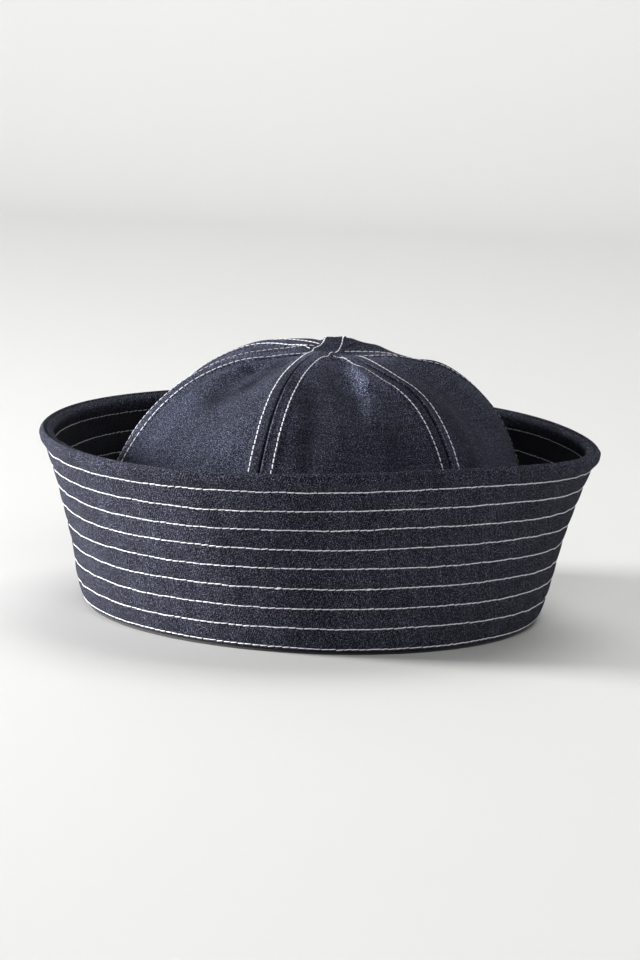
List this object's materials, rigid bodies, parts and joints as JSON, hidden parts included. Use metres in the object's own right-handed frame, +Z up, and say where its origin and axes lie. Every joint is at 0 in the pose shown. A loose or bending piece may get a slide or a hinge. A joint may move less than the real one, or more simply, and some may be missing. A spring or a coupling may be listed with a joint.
{
  "type": "sailor cap",
  "caption": "Denim sailor cap with a soft gored crown, a tall turned-up flared brim stitched in rows, and a sweatband ring it rests on.",
  "frame": {"origin": "middle of the cap's bounding box in plan, on the surface it rests on", "axes": "+Z up through the crown, -Y to the front of the cap, +Y along the longer way of the brim"},
  "size_m": [0.2223, 0.2306, 0.1044],
  "materials": {
    "denim": "dark indigo denim, fine twill, matte",
    "tape": "black cotton tape, matte",
    "thread": "off-white sewing thread, soft sheen"
  },
  "bodies": {
    "root": {"brim_outer": "denim", "brim_facing": "denim", "crown_gore_1": "denim", "crown_gore_2": "denim", "crown_gore_3": "denim", "crown_gore_4": "denim", "crown_gore_5": "denim", "crown_gore_6": "denim", "sweatband": "tape"}
  },
  "joints": []
}
